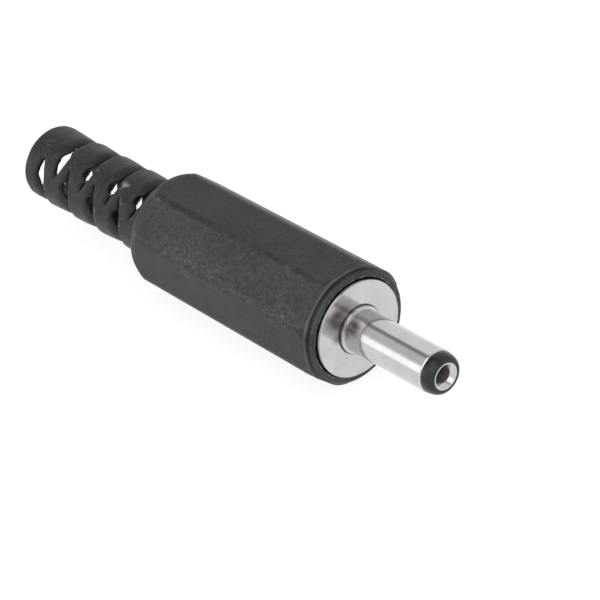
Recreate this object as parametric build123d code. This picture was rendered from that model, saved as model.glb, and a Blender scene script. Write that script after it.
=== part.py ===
from build123d import *
import os
from math import cos, radians, tan

# Inline power plug with a screw-on moulded hood. Lengths are in millimetres.
# The plug lies along X: the barrel points to +X and the cable would leave at -X.
# +Z is up, and the plug rests on the bottom flat of its eight-sided grip.
# Stations are counted from the flange's front face. The finished pieces are moved
# so that the origin is the middle of the barrel's plain length, on the axis.

# Outer barrel: the plated tube that goes into the socket
barrel_d = 3.5
barrel_wall = 0.4
barrel_reach = 8.73
barrel_tail = 4.6
boss_d = 3.9
boss_t = 0.35
boss_chamfer = 0.1
barrel_lip_chamfer = 0.1

# Insulating tube inside the barrel, whose nose stands proud at the tip
nose_proud = 0.93
nose_step = 0.05
nose_land = 0.22
nose_draft = 0.03
nose_face_d = 2.56
nose_round = 0.25
nose_edge_chamfer = 0.05

# Centre contact: the tube that takes the socket's pin
pin_bore_d = 1.35
pin_bore_depth = 8.6
contact_wall = 0.33
contact_lip = 0.11
contact_lip_t = 0.22
mouth_depth = 0.32
mouth_land = 0.1
rivet_head = 0.35
rivet_t = 0.3
rivet_chamfer = 0.12

# Shell: flange and threaded stub, turned from one bar
flange_t = 0.8
flange_ledge = 0.57
flange_break = 0.06
stub_length = 4.8
stub_step = 0.3
stub_break = 0.3
spigot_wall = 0.4
spigot_curl = 0.25
spigot_curl_t = 0.3
spigot_curl_chamfer = 0.12

# Insulating bush between the shell and the centre contact
bush_head_t = 0.8
bush_shank = 0.9

# Solder lugs, both bent from sheet
sheet_t = 0.4
lug_gap = 0.1
ground_tail_w = 2.6
ground_tail = 7.2
clamp_length = 2.6
clamp_rise = 0.9
centre_ring_w = 1.0
centre_tail_w = 2.0
centre_tail = 4.6
centre_tail_round = 0.7
wire_hole_d = 1.1
wire_hole_inset = 1.5

# Hood, one moulding: front rim and octagonal grip
recess_gap = 0.1
recess_floor_gap = 0.05
rim_wall = 0.58
rim_front = 0.3
rim_chamfer = 0.2
rim_t = 0.32
groove_w = 0.12
groove_depth = 0.16
flat_step = 0.07
corner_blunt = 0.03
grip_end = 21.8
front_taper = 1.15
front_taper_drop = 0.42
shoulder_taper = 1.3
shoulder_drop = 0.5
shoulder_round = 0.8
shoulder_dome = 0.35
room_step = 0.1
room_step_back = 1.0
wire_room_end = 19.9
room_taper = 1.9
thread_gap = 0.05

# Hood: bend relief sleeve, with lens-shaped slots cut from opposite sides
cable_bore_d = 5.0
sleeve_wall = 0.64
sleeve_draft = 0.34
sleeve_length = 14.95
sleeve_end_round = 0.35
sleeve_mouth_break = 0.2
sleeve_overlap = 0.9
end_ring = 0.8
slot_pitch = 3.13
slot_start = 1.85
slot_stagger = 1.82
slot_turn = -37.5
slot_belly = 1.14
slot_belly_height = 0.83
slot_top = 0.28
slot_top_lean = 0.42
slot_tip_lean = 0.13
slot_past_axis = 0.88

# How far cutting bodies reach past the faces that they cut
cut_past = 1.0

# Sizes that follow from the ones above
barrel_r = barrel_d / 2
barrel_bore_r = barrel_r - barrel_wall
boss_r = boss_d / 2
barrel_middle = (boss_t + barrel_reach - barrel_lip_chamfer) / 2
pin_r = pin_bore_d / 2
tip_reach = barrel_reach + nose_proud
contact_r = pin_r + contact_wall
lip_r = contact_r + contact_lip
lip_back = tip_reach - contact_lip_t
spigot_r = boss_r + spigot_wall
curl_r = spigot_r + spigot_curl
ground_ring_r = curl_r + lug_gap + sheet_t
stub_r = ground_ring_r + stub_step
flange_r = stub_r + flange_ledge
stub_end = flange_t + stub_length
curl_front = stub_end + sheet_t
curl_back = curl_front + spigot_curl_t
bush_back = curl_back + bush_head_t
rivet_front = bush_back + sheet_t
centre_ring_r = contact_r + centre_ring_w
recess_r = flange_r + recess_gap
rim_r = recess_r + rim_wall
groove_front = rim_front + rim_t
grip_front = groove_front + groove_w
flats_r = rim_r + flat_step
corner_r = flats_r / cos(radians(22.5)) - corner_blunt
stub_bore_r = stub_r + thread_gap
room_r = stub_bore_r - room_step
cable_r = cable_bore_d / 2
sleeve_r = cable_r + sleeve_wall
sleeve_end = grip_end + sleeve_length
sleeve_back_r = sleeve_r - sleeve_length * tan(radians(sleeve_draft))


def turned(outline, rounded=(), chamfered=()):
    """Revolve an outline of (x, radius) points about X, with some corners rounded or chamfered."""
    face = make_face(Polyline(*outline, close=True))
    for ease, corners in ((fillet, rounded), (chamfer, chamfered)):
        for x, radius, size in corners:
            face = ease(face.vertices().sort_by_distance((x, radius, 0))[0], size)
    return revolve(face, Axis.X)


def rod(x_from, x_to, radius):
    """A round bar along X between two stations."""
    return turned([(x_from, 0), (x_to, 0), (x_to, radius), (x_from, radius)])


def make_barrel():
    """Plated tube whose thicker root is pressed into the shell and shows as a rounded boss."""
    outline = [
        (-barrel_tail, barrel_bore_r),
        (-barrel_tail, boss_r),
        (boss_t, boss_r),
        (boss_t, barrel_r),
        (barrel_reach, barrel_r),
        (barrel_reach, barrel_bore_r),
    ]
    chamfers = [(boss_t, boss_r, boss_chamfer), (barrel_reach, barrel_r, barrel_lip_chamfer)]
    return turned(outline, chamfered=chamfers)


def make_tip_insulator():
    """Black tube that lines the barrel, with a tapered nose proud of the metal."""
    nose_r = barrel_r - nose_step
    nose_back = barrel_reach + nose_land
    nose_tip_r = nose_r - nose_draft
    face_r = nose_face_d / 2
    outline = [
        (-barrel_tail, contact_r),
        (-barrel_tail, barrel_bore_r),
        (barrel_reach, barrel_bore_r),
        (barrel_reach, nose_r),
        (nose_back, nose_tip_r),
        (tip_reach, face_r),
        (tip_reach, lip_r),
        (lip_back, lip_r),
        (lip_back, contact_r),
    ]
    nose_rounds = [(nose_back, nose_tip_r, nose_round)]
    return turned(outline, nose_rounds, [(tip_reach, face_r, nose_edge_chamfer)])


def make_centre_contact():
    """Tube with a flared, rolled mouth in front and a riveted head behind."""
    back = -rivet_front - rivet_t
    head_r = contact_r + rivet_head
    bore_end = tip_reach - pin_bore_depth
    outline = [
        (back, 0),
        (back, head_r),
        (-rivet_front, head_r),
        (-rivet_front, contact_r),
        (lip_back, contact_r),
        (lip_back, lip_r),
        (tip_reach, lip_r),
        (tip_reach, lip_r - mouth_land),
        (tip_reach - mouth_depth, pin_r),
        (bore_end, pin_r),
        (bore_end - pin_r, 0),
    ]
    return turned(outline, chamfered=[(back, head_r, rivet_chamfer)])


def make_shell():
    """Turned flange and stub that the hood screws onto, with a curled spigot behind."""
    outline = [
        (0, boss_r),
        (0, flange_r - flange_break),
        (-flange_break, flange_r),
        (-flange_t, flange_r),
        (-flange_t, stub_r),
        (-stub_end + stub_break, stub_r),
        (-stub_end, stub_r - stub_break),
        (-stub_end, spigot_r),
        (-curl_front, spigot_r),
        (-curl_front, curl_r),
        (-curl_back, curl_r),
        (-curl_back, boss_r),
    ]
    return turned(outline, chamfered=[(-curl_back, curl_r, spigot_curl_chamfer)])


def make_rear_bush():
    """Shouldered insulating bush that centres the contact in the shell."""
    outline = [
        (-bush_back, contact_r),
        (-bush_back, curl_r),
        (-curl_back, curl_r),
        (-curl_back, boss_r),
        (-curl_back + bush_shank, boss_r),
        (-curl_back + bush_shank, contact_r),
    ]
    return turned(outline)


def bent_lug(seat, ring_r, hole_r, tail_w, tail_length, side):
    """A ring round the axis and a tail bent back from it. side is +1 above, -1 below."""
    tail_z = side * (ring_r - sheet_t / 2)
    ring = rod(-seat - sheet_t, -seat, ring_r)
    web = Pos(-seat - sheet_t / 2, 0, tail_z / 2) * Box(sheet_t, tail_w, ring_r - sheet_t / 2)
    tail = Pos(-seat - tail_length / 2, 0, tail_z) * Box(tail_length, tail_w, sheet_t)
    lug = ring + web + tail - rod(-seat - sheet_t, -seat, hole_r)
    hole_x = -seat - tail_length + wire_hole_inset
    return lug - Pos(hole_x, 0, tail_z) * Cylinder(wire_hole_d / 2, sheet_t + cut_past)


def make_centre_lug():
    """Short lug riveted to the centre contact."""
    lug = bent_lug(bush_back, centre_ring_r, contact_r, centre_tail_w, centre_tail, 1)
    ends = lug.edges().filter_by(Axis.Z).group_by(Axis.X)[0]
    return fillet(ends, centre_tail_round)


def make_ground_lug():
    """Long lug riveted to the shell, ending in a channel whose wings clamp the cable."""
    lug = bent_lug(stub_end, ground_ring_r, spigot_r, ground_tail_w, ground_tail, -1)
    front = -stub_end - ground_tail
    middle = front - clamp_length / 2
    inner_r = ground_ring_r - sheet_t
    above = 2 * ground_ring_r
    channel = rod(front - clamp_length, front, ground_ring_r)
    channel += Pos(middle, 0, clamp_rise / 2) * Box(clamp_length, 2 * ground_ring_r, clamp_rise)
    channel -= rod(front - clamp_length, front, inner_r)
    channel -= Pos(middle, 0, above / 2) * Box(clamp_length, 2 * inner_r, above)
    channel -= Pos(middle, 0, clamp_rise + above / 2) * Box(clamp_length, 2 * above, above)
    return lug + channel


def slot_blade(station, side):
    """A blade that cuts one slot: pointed past the axis, wide at its belly, narrow on top."""
    tip = (-slot_tip_lean, -slot_past_axis)
    height = sleeve_r + cut_past
    walls = []
    tops = []
    for way in (-1, 1):
        belly = (way * slot_belly / 2, slot_belly_height)
        tops.append((-slot_top_lean + way * slot_top / 2, height))
        walls.append(ThreePointArc(tip, belly, tops[-1]))
    outline = make_face(Curve() + walls + [Line(*tops)])
    blade = extrude(Plane.XZ * outline, amount=height, both=True)
    return Pos(-station, 0, 0) * Rot(slot_turn + (0 if side > 0 else 180), 0, 0) * blade


def slot_stations():
    """Stations of the slots as (distance behind the flange, side), up to the end ring."""
    first = grip_end + slot_start
    last = sleeve_end - end_ring - slot_belly / 2
    found = []
    for offset, side in ((0, 1), (slot_stagger, -1)):
        station = first + offset
        while station <= last:
            found.append((station, side))
            station += slot_pitch
    return found


def make_grip():
    """Eight-sided prism whose ends are turned round, with a rim and groove in front."""
    start = -grip_end - shoulder_dome
    octagon = RegularPolygon(flats_r, 8, major_radius=False, rotation=22.5)
    prism = extrude(Plane.YZ.offset(start) * octagon, amount=-grip_front - start)
    outline = [
        (start, 0),
        (start, sleeve_r),
        (-grip_end, corner_r - shoulder_drop),
        (-grip_end + shoulder_taper, corner_r),
        (-grip_front - front_taper, corner_r),
        (-grip_front, corner_r - front_taper_drop),
        (-grip_front, 0),
    ]
    envelope = turned(outline, [(-grip_end, corner_r - shoulder_drop, shoulder_round)])
    groove_floor = rim_r - groove_depth
    neck = [
        (-grip_front - cut_past, 0),
        (-grip_front - cut_past, groove_floor),
        (-groove_front, groove_floor),
        (-groove_front, rim_r),
        (-rim_front, rim_r),
        (-rim_front, 0),
    ]
    return (prism & envelope) + turned(neck, chamfered=[(-rim_front, rim_r, rim_chamfer)])


def make_hood():
    """Octagonal screw-on grip running into a sleeve with interleaved relief slots."""
    sleeve_front = -grip_end + sleeve_overlap
    sleeve = [
        (-sleeve_end, 0),
        (-sleeve_end, sleeve_back_r),
        (sleeve_front, sleeve_r),
        (sleeve_front, 0),
    ]
    mouth_r = cable_r + sleeve_mouth_break
    bore = [
        (cut_past, 0),
        (cut_past, recess_r),
        (-flange_t - recess_floor_gap, recess_r),
        (-flange_t - recess_floor_gap, stub_bore_r),
        (-stub_end - room_step_back, stub_bore_r),
        (-stub_end - room_step_back, room_r),
        (-wire_room_end, room_r),
        (-wire_room_end - room_taper, cable_r),
        (-sleeve_end + sleeve_mouth_break, cable_r),
        (-sleeve_end, mouth_r),
        (-sleeve_end - cut_past, mouth_r),
        (-sleeve_end - cut_past, 0),
    ]
    body = make_grip() + turned(sleeve, [(-sleeve_end, sleeve_back_r, sleeve_end_round)]) - turned(bore)
    for station, side in slot_stations():
        body -= slot_blade(station, side)
    return body


parts = {
    "hood": make_hood,
    "threaded_shell": make_shell,
    "barrel": make_barrel,
    "tip_insulator": make_tip_insulator,
    "centre_contact": make_centre_contact,
    "rear_bush": make_rear_bush,
    "ground_lug": make_ground_lug,
    "centre_lug": make_centre_lug,
}

os.makedirs("parts", exist_ok=True)
for name, make in parts.items():
    export_step(Pos(-barrel_middle, 0, 0) * make(), f"parts/{name}.step")
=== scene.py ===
from math import atan2, cos, hypot, radians, sin, tau

import bmesh
import bpy
import numpy as np
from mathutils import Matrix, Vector, noise


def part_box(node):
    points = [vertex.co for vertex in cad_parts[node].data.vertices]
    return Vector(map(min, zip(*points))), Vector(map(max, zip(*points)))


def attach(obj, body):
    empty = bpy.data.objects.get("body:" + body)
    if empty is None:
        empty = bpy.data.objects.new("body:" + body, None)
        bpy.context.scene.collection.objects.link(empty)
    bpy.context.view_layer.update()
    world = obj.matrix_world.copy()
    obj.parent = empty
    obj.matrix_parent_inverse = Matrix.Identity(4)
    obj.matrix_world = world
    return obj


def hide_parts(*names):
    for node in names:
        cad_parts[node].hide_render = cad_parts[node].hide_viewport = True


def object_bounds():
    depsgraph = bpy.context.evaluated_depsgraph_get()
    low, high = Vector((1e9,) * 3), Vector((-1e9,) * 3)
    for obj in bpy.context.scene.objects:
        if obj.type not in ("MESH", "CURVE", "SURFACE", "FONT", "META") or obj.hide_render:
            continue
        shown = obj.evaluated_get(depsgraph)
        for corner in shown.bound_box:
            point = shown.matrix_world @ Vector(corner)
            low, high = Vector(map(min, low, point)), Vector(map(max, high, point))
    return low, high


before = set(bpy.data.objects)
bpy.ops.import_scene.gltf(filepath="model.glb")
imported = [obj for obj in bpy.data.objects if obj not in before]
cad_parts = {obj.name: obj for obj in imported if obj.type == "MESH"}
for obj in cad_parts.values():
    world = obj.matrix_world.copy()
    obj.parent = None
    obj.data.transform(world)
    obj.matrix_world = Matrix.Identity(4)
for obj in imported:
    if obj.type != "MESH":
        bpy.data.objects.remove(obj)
cad_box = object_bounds()

# An inline power plug: black moulded hood, nickel-plated shell and barrel, black tip.
# Sizes are in millimetres, and stations are counted back from the flange's face.
MM = 0.001
WELD = 0.0001 * MM
FLANGE_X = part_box("threaded_shell")[1].x / MM
SHARP = radians(30)
FLAT_WITHIN = radians(0.5)
EVEN_WEIGHT = 60

# Camera, fitted to the photograph's flange, grip edges and barrel; its range is in metres
CAMERA_AT = (257.862, -197.274, 228.646)
CAMERA_TURN = (55.2222, 7.2823, 48.7345)
CAMERA_LENS = 320.54
CAMERA_RANGE = (0.01, 10.0)
SENSOR_WIDTH = 36.0

# Studio: a white tent whose panels are bands round the X axis, as degrees from +Y and brightness.
# The panels behind give way to those ahead between these two X parts of a direction.
PANELS_BEHIND = (
    (-180, 0.9), (-90, 1.0), (0, 0.97), (60, 0.97), (76, 0.97), (83, 0.3), (94, 0.28),
    (105, 0.73), (134, 0.73), (144, 1.0), (152, 1.75), (178, 1.75), (180, 1.2),
)
PANELS_AHEAD = (
    (-180, 0.9), (-90, 1.0), (0, 0.9), (62, 0.9), (72, 0.6), (88, 0.6),
    (100, 1.75), (145, 1.75), (158, 1.1), (180, 0.9),
)
AHEAD_FROM = (-0.5, -0.1)
BRIGHTEST = 1.75
FLOOR_HALF = 3.0

# Sleeve: where its slots are, from tip to top, and the forms that the solid leaves plain.
# Each place on a slot is its height over the axis, its bow along X and its half width.
SLOT_FIRST = {1: 23.65, -1: 25.47}
SLOT_PITCH = 3.13
SLOTS_A_SIDE = 4
SLOT_TURN = radians(37.5)
SLOT_TIP = (-0.88, -0.13, 0.0)
SLOT_BELLY = (0.83, 0.0, 0.57)
SLOT_TOP = (4.14, -0.42, 0.14)
SLOT_NARROWING = 0.24
SLOT_CLOSING = 0.98
SLOT_CLOSED_FROM = (1.0, 1.8)
SLOT_TIP_CLOSING = (0.62, 0.37)
SLOT_TIP_FADE = 1.0
SLOT_LIFT = 0.4
SLOT_REACH = 0.28
RIB_DROP = 0.17
RIB_BULGE = 1.4
RIB_SIDES = (-0.45, 0.45)
SLEEVE_WALL_R = (2.64, 3.04)
SLEEVE_SKIN_R = (2.6, 2.95)
SLEEVE_CUT = 22.25
SLEEVE_VOXEL = 0.1
SLEEVE_SOFTENING = 5
UNEVEN = 0.03
UNEVEN_SCALE = 1.3

# Grip: rounded corners, a shallow groove in front, draft and a filleted neck, and how near a
# point counts as at the cut, at the neck's station or at a radius
FLAT_R = 4.72
GRIP_SIDES = 8
GRIP_CUT = 22.6
GRIP_FRONT = 0.75
GRIP_DRAFT = 0.00184
GRIP_SKIN_R = (3.5, 4.4)
CORNER_ROUND = 1.0
CORNER_CUTS = (0.08, 0.16, 0.24, 0.32, 0.4)
FRONT = (0.74, 1.89)
FRONT_CORNER_R = (4.86, 5.11)
FRONT_SLICES = (0.82, 0.95, 1.1, 1.3, 1.5, 1.7)
GROOVE = (0.6, 0.76)
GROOVE_R = (4.4, 4.62)
NECK = 22.15
NECK_R = 3.14
NECK_EDGE = 0.25
NECK_STEPS = 4
SOFT_EDGE = 0.03
EDGE_STEPS = 2
NEAR_CUT = 0.01
NEAR_STATION = 0.05
NEAR_R = 0.1

# Shell: a fine thread on its stub, cut between these stations and radii, and eased edges
THREADED = (0.85, 5.58)
THREADED_R = (3.15, 3.45)
THREAD_SLICED = (0.9, 5.55)
THREAD_SLICE = 0.0625
THREAD_STARTS = (0.9, 1.15)
THREAD_R = 3.4
THREAD_PITCH = 0.75
THREAD_DEPTH = 0.28
THREAD_FLANK = 1.3
THREAD_CREST = 0.15
SHELL_EDGE = 0.07

# The tip's nose: its root and face ahead of the flange, and its radii at the face and root
NOSE_AHEAD = (8.73, 9.66)
NOSE_R = (1.2, 1.69)
NOSE_FULLNESS = 2.3
NOSE_SLICES = (0.1, 0.25, 0.4, 0.52, 0.62, 0.7, 0.77, 0.83, 0.88, 0.92, 0.95, 0.975)
NOSE_NEAR = 0.02

# The solids that stay, and how far their edges are rounded
EASED = {"barrel": 0.045, "centre_contact": 0.02, "rear_bush": 0.05, "ground_lug": 0.05, "centre_lug": 0.05}

# Noises: scale, detail and roughness. Below, a span is its low and high and, where those are
# not mapped to 0 and 1, the values at each. A bump is its strength and depth.
HOOD_CLOUD = (260.0, 4.0, 0.6)
HOOD_MOTTLE = (2300.0, 4.0, 0.7)
HOOD_SPECKLE = (4800.0, 2.0, 0.6)
HOOD_GRAIN = (7000.0, 2.0, 0.6)
HOOD_FLECKS = (2400.0, 4.0, 0.7)
HOOD_PATCHES = (330.0, 2.0, 0.5)
RIM_FLECKS = (3000.0, 3.0, 0.7)
NICKEL_TURNING = (9000.0, 2.0, 0.6)
NICKEL_CLOUD = (700.0, 3.0, 0.6)
NICKEL_FINE = (6000.0, 2.0, 0.6)
ROOT_REFLECTION_PATCHES = (900.0, 3.0, 0.55)
TIP_CLOUD = (900.0, 3.0, 0.6)
TIP_FINE = (5000.0, 2.0, 0.6)
FLOOR_CLOUD = (30.0, 3.0, 0.55)

# Hood plastic: its greys, the shares of cloud, mottle and speckle in its tone, and where the painted
# light, each painted shade, each kind of wear and the painted edge highlights lie
HOOD_DARK = 0.007
HOOD_PALE = 0.026
HOOD_PAINTED_LIGHT = 0.054
HOOD_SHADED = 0.003
HOOD_PAINTED_DEEP_SHADE = 0.001
HOOD_WEAR_AND_HIGHLIGHT = 0.22
HOOD_IOR = 1.4
TONE_SHARES = (0.2, 0.45, 0.35)
TONE_SPAN = (0.4, 0.6)
# Painted light on one side of the grip: its angle, spread, waver, stations and tone span
PAINTED_LIGHT_ANGLE = radians(135)
PAINTED_LIGHT_SPREAD = (radians(24), radians(20))
PAINTED_LIGHT_WAVER = 0.35
PAINTED_LIGHT_STATIONS = (22.0, 21.0)
PAINTED_LIGHT_TONE = (0.42, 0.58, 0.2, 0.52)
# Painted shade in the groove band behind the rim: where it starts, where it ends and how strong
SHADED_FROM = (0.4, 0.48)
SHADED_TO = (0.74, 0.66)
SHADE = 0.85
# Painted shade inside the sleeve: its stations and radii
SLEEVE_STATIONS = (21.5, 22.5)
PAINTED_DEEP_SHADE_R = (3.0, 2.75)
FLECK_SPAN = (0.47, 0.64)
PATCH_SPAN = (0.46, 0.62)
CORNER_R = (4.86, 5.0)
CORNER_FLECKS = 0.25
CORNER_WEAR = 0.16
RIM_R = 4.12
RIM_WIDTH = 0.07
RIM_STATIONS = (0.5, 0.35)
RIM_SPAN = (0.45, 0.6)
EDGE_WIDTH = (0.09, 0.03)
EDGE_PATCHES = (0.3, 0.6, 0.4, 1.0)
SCUFF_CORE = 0.25
# Roughness added on the wear and on the painted edge highlights
WEAR_AND_HIGHLIGHT_ROUGHNESS = 0.2
HOOD_ROUGHNESS = (0.35, 0.65, 0.42, 0.55)
MOTTLE_BUMP = (0.35, 0.02)
GRAIN_BUMP = (0.3, 0.01)

# Nickel plate
NICKEL_LIGHT = (0.59, 0.58, 0.576, 1.0)
NICKEL_DULL = (0.535, 0.523, 0.521, 1.0)
NICKEL_DARK_BROWN = (0.085, 0.066, 0.064, 1.0)
NICKEL_BORE = (0.44, 0.4, 0.39, 1.0)
DULL_SPAN = (0.35, 0.7)
# Painted dark brown reflection round the barrel's root: its core and patch span
ROOT_REFLECTION_CORE = 0.1
ROOT_REFLECTION_SPAN = (0.3, 0.6, 0.6, 1.0)
# A dark joint line at the barrel's foot, partly painted shadow: its depth, radius, width and strength
FACE_DEPTH = (0.06, 0.03)
FOOT_R = 2.0
FOOT_WIDTH = (0.11, 0.03)
FOOT_JOINT_AND_SHADOW = 0.6
BORE_R = (0.71, 0.66)
BORE_ROUGHNESS = 0.55
CLOUD_ROUGHNESS = 0.06
TURNING_ROUGHNESS = (0.3, 0.7, 0.06, 0.12)
TURNING_BUMP = (0.06, 0.01)
NICKEL_BUMP = (0.05, 0.01)

# Tip plastic and the floor
TIP_DARK = 0.005
TIP_PALE = 0.011
TIP_SPAN = (0.35, 0.65)
TIP_ROUGHNESS = (0.3, 0.7, 0.22, 0.34)
TIP_IOR = 1.4
TIP_COAT = 0.1
TIP_COAT_ROUGHNESS = 0.12
TIP_BUMP = (0.12, 0.01)
FLOOR_GREYS = (0.2, 0.21)
FLOOR_SPAN = (0.3, 0.7)
FLOOR_GLOW = 0.86

# Marks on the hood: where each lies, how far it spreads and how strong it is
SCUFFS = (
    ((-30.1, -1.2, 2.85), 0.75, 1.0),
    ((-29.6, -2.2, 2.2), 0.4, 0.6),
    ((-24.7, -2.1, 4.5), 0.35, 1.0),
    ((-29.2, -3.0, 0.6), 0.3, 1.0),
    ((-33.4, -1.0, 2.9), 0.5, 0.5),
    ((-32.4, -3.0, 0.65), 0.35, 0.5),
    ((-38.3, -1.7, 2.5), 0.5, 0.6),
    ((-39.9, -1.0, 2.9), 0.5, 0.45),
    ((-21.5, -4.2, 2.3), 1.8, 0.16),
    ((-19.0, -4.3, 2.2), 2.2, 0.2),
    ((-16.0, -4.4, 2.1), 1.8, 0.13),
    ((-9.5, -4.1, 2.4), 2.0, 0.16),
    ((-7.6, -4.4, 2.1), 1.2, 0.25),
)

# Edges round the hood's front end that are painted pale, a painted edge highlight with some wear: station and
# strength
FRONT_EDGE_WEAR_AND_HIGHLIGHTS = ((0.8, 0.3), (0.33, 0.1))

# Painted dark brown reflection on the nickel round the barrel's root, given like the marks
PAINTED_ROOT_REFLECTIONS = (
    ((-4.49, -1.75, 1.9), 1.7, 0.85),
    ((-4.49, -2.1, 0.3), 0.8, 0.5),
    ((-3.6, -1.4, 1.15), 1.2, 0.85),
)


def station_of(point):
    return FLANGE_X - point.x / MM


def across_of(point):
    """Distance from the axis."""
    return hypot(point.y, point.z) / MM


def scale_across(point, scale):
    point.y *= scale
    point.z *= scale


def smooth(value, low, high):
    t = np.clip((value - low) / (high - low), 0.0, 1.0)
    return t * t * (3 - 2 * t)


def make_camera():
    data = bpy.data.cameras.new("camera")
    data.lens = CAMERA_LENS
    data.sensor_width = SENSOR_WIDTH
    data.sensor_fit = "HORIZONTAL"
    data.clip_start, data.clip_end = CAMERA_RANGE
    camera = bpy.data.objects.new("camera", data)
    camera.location = Vector(CAMERA_AT) * MM
    camera.rotation_euler = [radians(angle) for angle in CAMERA_TURN]
    bpy.context.scene.collection.objects.link(camera)
    bpy.context.scene.camera = camera


class Nodes:
    """A node tree, with short calls for the nodes used here."""

    def __init__(self, tree):
        self.tree = tree

    def add(self, kind, inputs=(), **settings):
        node = self.tree.nodes.new(kind)
        for key, value in settings.items():
            setattr(node, key, value)
        for key, value in dict(inputs).items():
            self.feed(node.inputs[key], value)
        return node

    def feed(self, socket, value):
        if isinstance(value, bpy.types.NodeSocket):
            self.tree.links.new(value, socket)
        else:
            socket.default_value = value

    def math(self, operation, a, b=0.0):
        return self.add("ShaderNodeMath", {0: a, 1: b}, operation=operation).outputs[0]

    def times(self, value, *factors):
        for factor in factors:
            value = self.math("MULTIPLY", value, factor)
        return value

    def off(self, value, centre):
        """How far a value is from a centre."""
        return self.math("ABSOLUTE", self.math("SUBTRACT", value, centre))

    def places(self):
        """The place on the object, its coordinates and its distance from the X axis."""
        place = self.add("ShaderNodeTexCoord").outputs["Object"]
        split = self.add("ShaderNodeSeparateXYZ", {0: place}).outputs
        squares = [self.math("POWER", split[axis], 2.0) for axis in (1, 2)]
        return place, split, self.math("SQRT", self.math("ADD", *squares))

    def span(self, value, low, high, to_low=0.0, to_high=1.0):
        """Value mapped smoothly from low..high to to_low..to_high."""
        inputs = {"Value": value, "From Min": low, "From Max": high, "To Min": to_low, "To Max": to_high}
        return self.add("ShaderNodeMapRange", inputs, interpolation_type="SMOOTHSTEP").outputs["Result"]

    def reach(self, length, low, high, to_low=0.0, to_high=1.0):
        """A span whose low and high are millimetres."""
        return self.span(length, low * MM, high * MM, to_low, to_high)

    def near(self, place, at, spread, core, strength):
        """Strength within the core's share of the spread, fading to nothing at the spread."""
        inputs = {0: place, 1: Vector(at) * MM}
        away = self.add("ShaderNodeVectorMath", inputs, operation="DISTANCE").outputs["Value"]
        return self.reach(away, spread, core * spread, 0.0, strength)

    def noise(self, vector, scale, detail, roughness):
        inputs = {"Vector": vector, "Scale": scale, "Detail": detail, "Roughness": roughness}
        return self.add("ShaderNodeTexNoise", inputs).outputs["Fac"]

    def mix(self, factor, a, b):
        """Colour a to colour b by factor."""
        node = self.add("ShaderNodeMix", data_type="RGBA")
        self.feed(node.inputs[0], factor)
        self.feed(node.inputs[6], a)
        self.feed(node.inputs[7], b)
        return node.outputs[2]

    def ramp(self, factor, stops):
        node = self.add("ShaderNodeValToRGB", {"Fac": factor})
        elements = node.color_ramp.elements
        while len(elements) < len(stops):
            elements.new(0.5)
        for element, (place, value) in zip(elements, stops):
            element.position = place
            element.color = grey(value)
        return node.outputs["Color"]

    def bump(self, height, strength, distance, under=None):
        inputs = {"Height": height, "Strength": strength, "Distance": distance * MM}
        if under is not None:
            inputs["Normal"] = under
        return self.add("ShaderNodeBump", inputs).outputs["Normal"]


def grey(value):
    return (value, value, value, 1.0)


def new_material(name):
    material = bpy.data.materials.new(name)
    material.use_nodes = True
    nodes = Nodes(material.node_tree)
    shader = material.node_tree.nodes["Principled BSDF"]
    return material, nodes, shader


def hood_colour(nodes, place, across, behind, angle, cloud, mottle):
    """Mottled plastic, with painted light on one side of the grip and painted shade in the rim's band and
    inside the sleeve.
    """
    speckle = nodes.noise(place, *HOOD_SPECKLE)
    tone = nodes.math("ADD", nodes.times(cloud, TONE_SHARES[0]), nodes.times(mottle, TONE_SHARES[1]))
    tone = nodes.math("ADD", tone, nodes.times(speckle, TONE_SHARES[2]))
    colour = nodes.mix(nodes.span(tone, *TONE_SPAN), grey(HOOD_DARK), grey(HOOD_PALE))

    # Painted light: the grip's side at this angle is painted paler, in patches
    waver = nodes.times(nodes.math("SUBTRACT", cloud, 0.5), PAINTED_LIGHT_WAVER)
    off_side = nodes.math("ADD", nodes.off(angle, PAINTED_LIGHT_ANGLE), waver)
    on_grip = nodes.reach(behind, *PAINTED_LIGHT_STATIONS)
    painted_light_side = nodes.times(nodes.span(off_side, *PAINTED_LIGHT_SPREAD), on_grip, nodes.span(tone, *PAINTED_LIGHT_TONE))
    colour = nodes.mix(painted_light_side, colour, grey(HOOD_PAINTED_LIGHT))

    # Painted shade: the groove band behind the rim is painted dark
    painted_shade_band = nodes.times(nodes.reach(behind, *SHADED_FROM), nodes.reach(behind, *SHADED_TO), SHADE)
    colour = nodes.mix(painted_shade_band, colour, grey(HOOD_SHADED))
    # Painted shade: the sleeve's inner wall and slots are painted dark towards the bore
    painted_deep_shade = nodes.times(nodes.reach(behind, *SLEEVE_STATIONS), nodes.reach(across, *PAINTED_DEEP_SHADE_R), SHADE)
    return nodes.mix(painted_deep_shade, colour, grey(HOOD_PAINTED_DEEP_SHADE))


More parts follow.
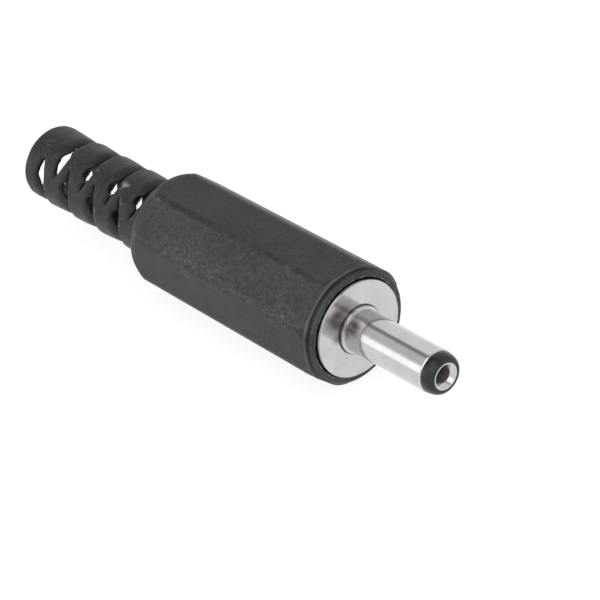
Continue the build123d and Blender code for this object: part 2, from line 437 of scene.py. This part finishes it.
def hood_wear_and_highlights(nodes, place, across, behind, cloud):
    """Wear on the grip's corners and the rim, a painted edge highlight with some wear on the front edges, and
    the single scuffs.
    """
    flecks = nodes.span(nodes.noise(place, *HOOD_FLECKS), *FLECK_SPAN)
    patches = nodes.span(nodes.noise(place, *HOOD_PATCHES), *PATCH_SPAN)
    corner = nodes.times(nodes.reach(across, *CORNER_R), patches, nodes.math("ADD", flecks, CORNER_FLECKS))
    at_rim = nodes.reach(nodes.off(across, RIM_R * MM), RIM_WIDTH, 0.0)
    rim = nodes.times(at_rim, nodes.reach(behind, *RIM_STATIONS))
    rim_flecks = nodes.span(nodes.noise(place, *RIM_FLECKS), *RIM_SPAN)
    wear_and_highlight = nodes.math("MAXIMUM", nodes.times(corner, CORNER_WEAR), nodes.times(rim, rim_flecks))
    edge_patches = nodes.span(cloud, *EDGE_PATCHES)
    # Painted highlight with some wear: pale lines along the front edges
    for station, strength in FRONT_EDGE_WEAR_AND_HIGHLIGHTS:
        near = nodes.reach(nodes.off(behind, station * MM), *EDGE_WIDTH, 0.0, strength)
        wear_and_highlight = nodes.math("MAXIMUM", wear_and_highlight, nodes.times(near, edge_patches))
    for at, spread, strength in SCUFFS:
        near = nodes.near(place, at, spread, SCUFF_CORE, strength)
        wear_and_highlight = nodes.math("MAXIMUM", wear_and_highlight, nodes.times(near, flecks))
    return wear_and_highlight


def hood_plastic():
    """Matt moulded plastic: fine grain, mottling, worn edges with painted edge highlights, chips and scuffs,
    painted light on one side and painted shade.
    """
    material, nodes, shader = new_material("hood_plastic")
    place, split, across = nodes.places()
    behind = nodes.math("SUBTRACT", FLANGE_X * MM, split[0])
    angle = nodes.math("ARCTAN2", split[2], split[1])
    cloud = nodes.noise(place, *HOOD_CLOUD)
    mottle = nodes.noise(place, *HOOD_MOTTLE)
    colour = hood_colour(nodes, place, across, behind, angle, cloud, mottle)
    wear_and_highlight = hood_wear_and_highlights(nodes, place, across, behind, cloud)
    nodes.feed(shader.inputs["Base Color"], nodes.mix(wear_and_highlight, colour, grey(HOOD_WEAR_AND_HIGHLIGHT)))
    rough = nodes.math("ADD", nodes.span(mottle, *HOOD_ROUGHNESS), nodes.times(wear_and_highlight, WEAR_AND_HIGHLIGHT_ROUGHNESS))
    nodes.feed(shader.inputs["Roughness"], rough)
    shader.inputs["IOR"].default_value = HOOD_IOR
    soft = nodes.bump(mottle, *MOTTLE_BUMP)
    nodes.feed(shader.inputs["Normal"], nodes.bump(nodes.noise(place, *HOOD_GRAIN), *GRAIN_BUMP, soft))
    return material


def nickel_colour(nodes, place, x, across, cloud):
    """Nickel with a painted dark brown reflection round the barrel's foot, a dark joint line there that is
    partly painted shadow, and a darker bore.
    """
    colour = nodes.mix(nodes.span(cloud, *DULL_SPAN), NICKEL_LIGHT, NICKEL_DULL)
    patches = nodes.span(nodes.noise(place, *ROOT_REFLECTION_PATCHES), *ROOT_REFLECTION_SPAN)
    # Painted reflection: dark brown patches round the barrel's root
    for at, spread, strength in PAINTED_ROOT_REFLECTIONS:
        near = nodes.near(place, at, spread, ROOT_REFLECTION_CORE, strength)
        colour = nodes.mix(nodes.times(near, patches), colour, NICKEL_DARK_BROWN)
    # A dark joint line at the barrel's foot, partly painted shadow
    at_face = nodes.reach(nodes.off(x, FLANGE_X * MM), *FACE_DEPTH)
    at_foot = nodes.reach(nodes.off(across, FOOT_R * MM), *FOOT_WIDTH)
    return nodes.mix(nodes.times(at_face, at_foot, FOOT_JOINT_AND_SHADOW), colour, NICKEL_DARK_BROWN)


def nickel_plate():
    """Satin nickel plate over turned brass: faint turning marks and a slightly uneven sheen."""
    material, nodes, shader = new_material("nickel_plate")
    place, split, across = nodes.places()
    ringed = nodes.add("ShaderNodeCombineXYZ", {0: split[0], 1: across, 2: 0.0}).outputs[0]
    turning = nodes.noise(ringed, *NICKEL_TURNING)
    cloud = nodes.noise(place, *NICKEL_CLOUD)
    in_bore = nodes.reach(across, *BORE_R)
    colour = nickel_colour(nodes, place, split[0], across, cloud)
    nodes.feed(shader.inputs["Base Color"], nodes.mix(in_bore, colour, NICKEL_BORE))
    shader.inputs["Metallic"].default_value = 1.0
    rough = nodes.math("ADD", nodes.span(turning, *TURNING_ROUGHNESS), nodes.times(cloud, CLOUD_ROUGHNESS))
    rough = nodes.math("ADD", rough, nodes.times(in_bore, BORE_ROUGHNESS))
    nodes.feed(shader.inputs["Roughness"], rough)
    rings = nodes.bump(turning, *TURNING_BUMP)
    nodes.feed(shader.inputs["Normal"], nodes.bump(nodes.noise(place, *NICKEL_FINE), *NICKEL_BUMP, rings))
    return material


def tip_plastic():
    """Glossy black moulded plastic with faint flow marks."""
    material, nodes, shader = new_material("tip_plastic")
    place = nodes.add("ShaderNodeTexCoord").outputs["Object"]
    cloud = nodes.noise(place, *TIP_CLOUD)
    colour = nodes.mix(nodes.span(cloud, *TIP_SPAN), grey(TIP_DARK), grey(TIP_PALE))
    nodes.feed(shader.inputs["Base Color"], colour)
    nodes.feed(shader.inputs["Roughness"], nodes.span(cloud, *TIP_ROUGHNESS))
    shader.inputs["IOR"].default_value = TIP_IOR
    shader.inputs["Coat Weight"].default_value = TIP_COAT
    shader.inputs["Coat Roughness"].default_value = TIP_COAT_ROUGHNESS
    nodes.feed(shader.inputs["Normal"], nodes.bump(nodes.noise(place, *TIP_FINE), *TIP_BUMP))
    return material


def floor_white():
    """A white table that glows softly, as on a light box, so that it holds hardly any shadow."""
    material, nodes, shader = new_material("floor_white")
    place = nodes.add("ShaderNodeTexCoord").outputs["Object"]
    tone = nodes.span(nodes.noise(place, *FLOOR_CLOUD), *FLOOR_SPAN)
    nodes.feed(shader.inputs["Base Color"], nodes.mix(tone, *[grey(value) for value in FLOOR_GREYS]))
    shader.inputs["Roughness"].default_value = 1.0
    shader.inputs["Specular IOR Level"].default_value = 0.0
    shader.inputs["Emission Color"].default_value = grey(1.0)
    shader.inputs["Emission Strength"].default_value = FLOOR_GLOW
    return material


def paint(obj, material):
    obj.data.materials.clear()
    obj.data.materials.append(material)


def placed(name, mesh):
    """A new object in the scene."""
    obj = bpy.data.objects.new(name, mesh)
    bpy.context.scene.collection.objects.link(obj)
    return obj


def make_floor(z):
    mesh = bpy.data.meshes.new("floor")
    corners = [(x * FLOOR_HALF, y * FLOOR_HALF, z) for x, y in ((-1, -1), (1, -1), (1, 1), (-1, 1))]
    mesh.from_pydata(corners, [], [(0, 1, 2, 3)])
    floor = placed("floor", mesh)
    paint(floor, floor_white())


def make_world():
    """The tent: one set of panels behind the part, and one beside and ahead of it."""
    world = bpy.data.worlds.new("studio")
    world.use_nodes = True
    nodes = Nodes(world.node_tree)
    towards = nodes.add("ShaderNodeTexCoord").outputs["Generated"]
    split = nodes.add("ShaderNodeSeparateXYZ", {0: towards}).outputs
    angle = nodes.math("ARCTAN2", split[2], split[1])
    turn = nodes.math("ADD", nodes.math("DIVIDE", angle, tau), 0.5)
    colours = []
    for panels in (PANELS_BEHIND, PANELS_AHEAD):
        stops = [((degrees + 180) / 360, value / BRIGHTEST) for degrees, value in panels]
        colours.append(nodes.ramp(turn, stops))
    colour = nodes.mix(nodes.span(split[0], *AHEAD_FROM), *colours)
    background = world.node_tree.nodes["Background"]
    nodes.feed(background.inputs["Color"], colour)
    background.inputs["Strength"].default_value = BRIGHTEST
    bpy.context.scene.world = world


def copied_shape(node):
    """A node's mesh as a bmesh, with coplanar facets joined."""
    shape = bmesh.new()
    shape.from_mesh(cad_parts[node].data)
    bmesh.ops.remove_doubles(shape, verts=shape.verts, dist=WELD)
    bmesh.ops.dissolve_limit(shape, angle_limit=FLAT_WITHIN, verts=shape.verts, edges=shape.edges)
    return shape


def ease_edges(shape, edges, width, steps=EDGE_STEPS):
    bmesh.ops.bevel(
        shape, geom=edges, offset=width * MM, offset_type="OFFSET", segments=steps,
        profile=0.5, affect="EDGES", clamp_overlap=False,
    )


def sharp_edges(shape):
    return [edge for edge in shape.edges if edge.is_manifold and edge.calc_face_angle() > SHARP]


def cut_plane(shape, at, normal, **clearing):
    geometry = shape.verts[:] + shape.edges[:] + shape.faces[:]
    return bmesh.ops.bisect_plane(shape, geom=geometry, dist=WELD, plane_co=at, plane_no=normal, **clearing)


def at_station(station):
    return Vector((FLANGE_X - station, 0, 0)) * MM


def slice_across(shape, stations):
    """Cut every face at these stations, so that its points can be moved."""
    crowded = [face for face in shape.faces if len(face.verts) > 4 and abs(face.normal.x) < 0.5]
    bmesh.ops.triangulate(shape, faces=crowded)
    for station in stations:
        cut_plane(shape, at_station(station), (1, 0, 0))


def cut_off(shape, station, keep_front):
    """Keep the part on one side of a station, and close the cut."""
    cut = cut_plane(shape, at_station(station), (1, 0, 0), clear_inner=keep_front, clear_outer=not keep_front)
    rim = [item for item in cut["geom_cut"] if isinstance(item, bmesh.types.BMEdge)]
    bmesh.ops.triangle_fill(shape, edges=rim, use_beauty=True, normal=(-1 if keep_front else 1, 0, 0))
    bmesh.ops.recalc_face_normals(shape, faces=shape.faces)


def into_object(shape, name):
    """The bmesh as an object; the bmesh goes."""
    mesh = bpy.data.meshes.new(name)
    shape.to_mesh(mesh)
    shape.free()
    return placed(name, mesh)


def shape_of(mesh):
    shape = bmesh.new()
    shape.from_mesh(mesh)
    return shape


def applied(obj):
    """The mesh that an object's modifiers make; the object goes."""
    shown = obj.evaluated_get(bpy.context.evaluated_depsgraph_get())
    mesh = bpy.data.meshes.new_from_object(shown)
    bpy.data.objects.remove(obj)
    return mesh


def into_piece(shape, name, body, material):
    piece = into_object(shape, name)
    piece.data.shade_smooth()
    piece.modifiers.new("even_shading", "WEIGHTED_NORMAL").weight = EVEN_WEIGHT
    paint(piece, material)
    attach(piece, body)
    return piece


def through(height, spot):
    """A curve through the slot's tip, belly and top: its middle line (1) or its half width (2)."""
    total = 0.0
    places = (SLOT_TIP, SLOT_BELLY, SLOT_TOP)
    for place in places:
        share = place[spot]
        for other in places:
            if other is not place:
                share = share * (height - other[0]) / (place[0] - other[0])
        total = total + share
    return total


def slot_frame(points):
    """Distance from the axis, angle from the slots' direction and height along it."""
    across = np.hypot(points[:, 1], points[:, 2])
    turn = np.arctan2(points[:, 1], points[:, 2]) - SLOT_TURN
    return across, turn, across * np.cos(turn)


def narrow_slots(points):
    """Slots narrow towards the bore, as moulded ones do, and their tips reach less far there."""
    across, turn, facing = slot_frame(points)
    inside = 1 - smooth(across, *SLEEVE_WALL_R)
    push = np.zeros(len(points))
    lift = np.zeros(len(points))
    for side, first in SLOT_FIRST.items():
        height = side * facing
        half = np.maximum(through(height, 2), 0.0)
        closing = smooth(height, *SLOT_CLOSED_FROM)
        tip_closing = np.where(turn < 0, smooth(height, *SLOT_TIP_CLOSING), 0.0)
        past_tip = smooth(height, SLOT_TIP[0] - SLOT_TIP_FADE, SLOT_TIP[0])
        low = past_tip * (1 - smooth(height, SLOT_TIP[0], SLOT_BELLY[0]))
        for count in range(SLOTS_A_SIDE):
            slot_x = FLANGE_X - first - count * SLOT_PITCH
            closed = np.maximum(closing, tip_closing) if count < SLOTS_A_SIDE - 1 else closing
            narrowing = SLOT_NARROWING + (SLOT_CLOSING - SLOT_NARROWING) * closed
            off = points[:, 0] - slot_x - through(height, 1)
            fade = (1 - smooth(np.abs(off) - half, 0.0, SLOT_REACH)) * past_tip
            push -= narrowing * np.clip(off, -half, half) * fade
            lift += side * SLOT_LIFT * low * fade
    points[:, 0] += push * inside
    cosine = np.clip(np.cos(turn) + lift * inside / across, -1.0, 1.0)
    turned = SLOT_TURN + np.copysign(np.arccos(cosine), np.sin(turn))
    points[:, 1] = across * np.sin(turned)
    points[:, 2] = across * np.cos(turned)


def crown_ribs(points):
    """Each rib is full at its rear edge and falls towards the flange."""
    across, turn, facing = slot_frame(points)
    drop = np.zeros(len(points))
    for side, first in SLOT_FIRST.items():
        height = side * facing
        along = (FLANGE_X - points[:, 0] - first + through(height, 1)) / SLOT_PITCH
        beyond = along - np.clip(np.floor(along), 0, SLOTS_A_SIDE - 1)
        fall = np.where(along < 0, 0.0, np.clip(1 - beyond, 0, 1) ** RIB_BULGE)
        drop += RIB_DROP * fall * smooth(side * np.cos(turn), *RIB_SIDES)
    points[:, 1:] *= (1 - smooth(across, *SLEEVE_SKIN_R) * drop / across)[:, None]


def roughen(points):
    """Slight unevenness of the moulding."""
    for point in points:
        across = hypot(point[1], point[2])
        point[1:] *= 1 + UNEVEN * noise.noise(Vector(point) * UNEVEN_SCALE) / across


def make_sleeve():
    """The slotted sleeve as one soft moulding, in millimetres while it is remeshed."""
    shape = copied_shape("hood")
    cut_off(shape, SLEEVE_CUT, keep_front=False)
    bmesh.ops.scale(shape, vec=(1 / MM,) * 3, verts=shape.verts)
    sleeve = into_object(shape, "sleeve")
    remesh = sleeve.modifiers.new("remesh", "REMESH")
    remesh.mode = "VOXEL"
    remesh.voxel_size = SLEEVE_VOXEL
    mesh = applied(sleeve)
    points = np.empty(len(mesh.vertices) * 3)
    mesh.vertices.foreach_get("co", points)
    points = points.reshape(-1, 3)
    crown_ribs(points)
    narrow_slots(points)
    roughen(points)
    mesh.vertices.foreach_set("co", points.ravel())
    sleeve = placed("sleeve", mesh)
    soften = sleeve.modifiers.new("soften", "SMOOTH")
    soften.factor = 0.5
    soften.iterations = SLEEVE_SOFTENING
    shape = shape_of(applied(sleeve))
    bmesh.ops.scale(shape, vec=(MM,) * 3, verts=shape.verts)
    return into_object(shape, "sleeve")


def cut_beside_corners(shape):
    """Lengthwise cuts beside each corner of the grip, so that it can be rounded."""
    for count in range(GRIP_SIDES):
        angle = tau * (count + 0.5) / GRIP_SIDES
        beside = Vector((0, cos(angle), -sin(angle)))
        for offset in CORNER_CUTS:
            cut_plane(shape, beside * offset * MM, beside)


def rounding(point):
    """How far the grip's rounded corner lies inside the corner of the flats."""
    half_side = tau / GRIP_SIDES / 2
    off = (atan2(point.y, point.z) % (2 * half_side)) - half_side
    beside = abs(across_of(point) * sin(off))
    along = across_of(point) * cos(off)
    if beside >= CORNER_ROUND * sin(half_side):
        return 0.0
    centre = (FLAT_R - CORNER_ROUND) / cos(half_side)
    return max(0.0, along - centre - (CORNER_ROUND ** 2 - beside ** 2) ** 0.5)


def front_radius(point, station):
    """The grip's radius near its front end, where the flats run on to the groove."""
    side = tau / GRIP_SIDES
    off = (atan2(point.y, point.z) + side / 2) % side - side / 2
    along = min(max((station - FRONT[0]) / (FRONT[1] - FRONT[0]), 0.0), 1.0)
    corner = FRONT_CORNER_R[0] + (FRONT_CORNER_R[1] - FRONT_CORNER_R[0]) * along
    return min(FLAT_R / cos(off), corner)


def ease_grip(shape):
    """Soften every sharp edge in front of the cut, with a wider fillet at the neck."""
    neck = []
    others = []
    for edge in sharp_edges(shape):
        point = edge.verts[0].co
        station = station_of(point)
        if station < GRIP_CUT - NEAR_CUT:
            at_neck = abs(station - NECK) < NEAR_STATION and abs(across_of(point) - NECK_R) < NEAR_R
            (neck if at_neck else others).append(edge)
    ease_edges(shape, others, SOFT_EDGE)
    ease_edges(shape, [edge for edge in neck if edge.is_valid], NECK_EDGE, NECK_STEPS)


def make_grip():
    """The grip with eased edges, rounded corners and moulding draft."""
    shape = copied_shape("hood")
    cut_off(shape, GRIP_CUT, keep_front=True)
    ease_grip(shape)
    slice_across(shape, FRONT_SLICES)
    cut_beside_corners(shape)
    for vertex in shape.verts:
        point = vertex.co
        station = station_of(point)
        across = across_of(point)
        if GROOVE[0] < station < GROOVE[1] and GROOVE_R[0] < across < GROOVE_R[1]:
            scale_across(point, GROOVE_R[1] / across)
        elif GRIP_FRONT < station and across > GRIP_SKIN_R[0]:
            skin = smooth(across, *GRIP_SKIN_R)
            if station < FRONT[1] and across > FLAT_R - NEAR_R:
                point.y *= front_radius(point, station) / across
                point.z *= front_radius(point, station) / across
            draft = 1 - GRIP_DRAFT * station * skin
            scale_across(point, draft * (1 - rounding(point) * skin / across_of(point)))
    return into_object(shape, "grip")


def make_hood(material):
    """Grip and sleeve joined into one moulding."""
    sleeve = make_sleeve()
    grip = make_grip()
    join = grip.modifiers.new("join", "BOOLEAN")
    join.operation = "UNION"
    join.solver = "MANIFOLD"
    join.object = sleeve
    shape = shape_of(applied(grip))
    bpy.data.objects.remove(sleeve)
    hood = into_piece(shape, "hood_moulding", "hood", material)
    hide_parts("hood")


def thread_cut(station, turn):
    """Depth of the thread's groove at a station, for a turn counted from 0 to 1."""
    along = (station / THREAD_PITCH - turn) % 1.0
    flank = min(max(THREAD_FLANK * abs(2 * along - 1) - THREAD_CREST, 0.0), 1.0)
    return THREAD_DEPTH * (1 - flank) * smooth(station, *THREAD_STARTS)


def make_shell(material):
    """The shell's solid with a real thread cut into its stub."""
    shape = copied_shape("threaded_shell")
    ease_edges(shape, sharp_edges(shape), SHELL_EDGE)
    first, last = THREAD_SLICED
    count = int((last - first) / THREAD_SLICE)
    slice_across(shape, [first + (i + 0.5) * THREAD_SLICE for i in range(count)])
    for vertex in shape.verts:
        point = vertex.co
        station = station_of(point)
        across = across_of(point)
        if THREADED[0] < station < THREADED[1] and THREADED_R[0] < across < THREADED_R[1]:
            cut = thread_cut(station, atan2(point.z, point.y) / tau)
            cut = min(cut, max(0.0, across - (THREAD_R - THREAD_DEPTH)))
            scale_across(point, 1 - cut / across)
    shell = into_piece(shape, "threaded_shell_turned", "plug", material)
    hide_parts("threaded_shell")


def make_nose(material):
    """The tip's insulator, with its proud nose a little fuller."""
    shape = copied_shape("tip_insulator")
    root, face = NOSE_AHEAD
    slice_across(shape, [-root - share * (face - root) for share in NOSE_SLICES])
    for vertex in shape.verts:
        point = vertex.co
        along = (-station_of(point) - root) / (face - root)
        across = across_of(point)
        if along > NOSE_NEAR and across > NOSE_R[0] - NOSE_NEAR:
            left = max(0.0, 1 - min(along, 1.0) ** NOSE_FULLNESS)
            full = NOSE_R[0] + (NOSE_R[1] - NOSE_R[0]) * left ** (1 / NOSE_FULLNESS)
            scale_across(point, full / across)
    nose = into_piece(shape, "tip_insulator_moulded", "plug", material)
    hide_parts("tip_insulator")


def smooth_shading():
    """A node group that shades a mesh smooth."""
    group = bpy.data.node_groups.new("smooth_shading", "GeometryNodeTree")
    for way in ("INPUT", "OUTPUT"):
        group.interface.new_socket("Geometry", in_out=way, socket_type="NodeSocketGeometry")
    start = group.nodes.new("NodeGroupInput")
    shade = group.nodes.new("GeometryNodeSetShadeSmooth")
    end = group.nodes.new("NodeGroupOutput")
    group.links.new(start.outputs[0], shade.inputs[0])
    group.links.new(shade.outputs[0], end.inputs[0])
    return group


def ease_node(node, width, shading):
    """Round a kept solid's sharp edges."""
    weld = node.modifiers.new("weld", "WELD")
    weld.merge_threshold = WELD
    whole = node.modifiers.new("whole_faces", "DECIMATE")
    whole.decimate_type = "DISSOLVE"
    whole.angle_limit = FLAT_WITHIN
    bevel = node.modifiers.new("ease", "BEVEL")
    bevel.width = width * MM
    bevel.segments = EDGE_STEPS
    bevel.limit_method = "ANGLE"
    bevel.angle_limit = SHARP
    bevel.use_clamp_overlap = True
    node.modifiers.new("smooth", "NODES").node_group = shading
    node.modifiers.new("even_shading", "WEIGHTED_NORMAL").weight = EVEN_WEIGHT


bpy.context.scene.view_settings.view_transform = "Standard"
make_camera()
make_world()
make_floor(cad_box[0].z)

plastic = hood_plastic()
nickel = nickel_plate()
tip = tip_plastic()
make_hood(plastic)
make_shell(nickel)
make_nose(tip)
shading = smooth_shading()
for name, width in EASED.items():
    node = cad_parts[name]
    paint(node, tip if name == "rear_bush" else nickel)
    ease_node(node, width, shading)
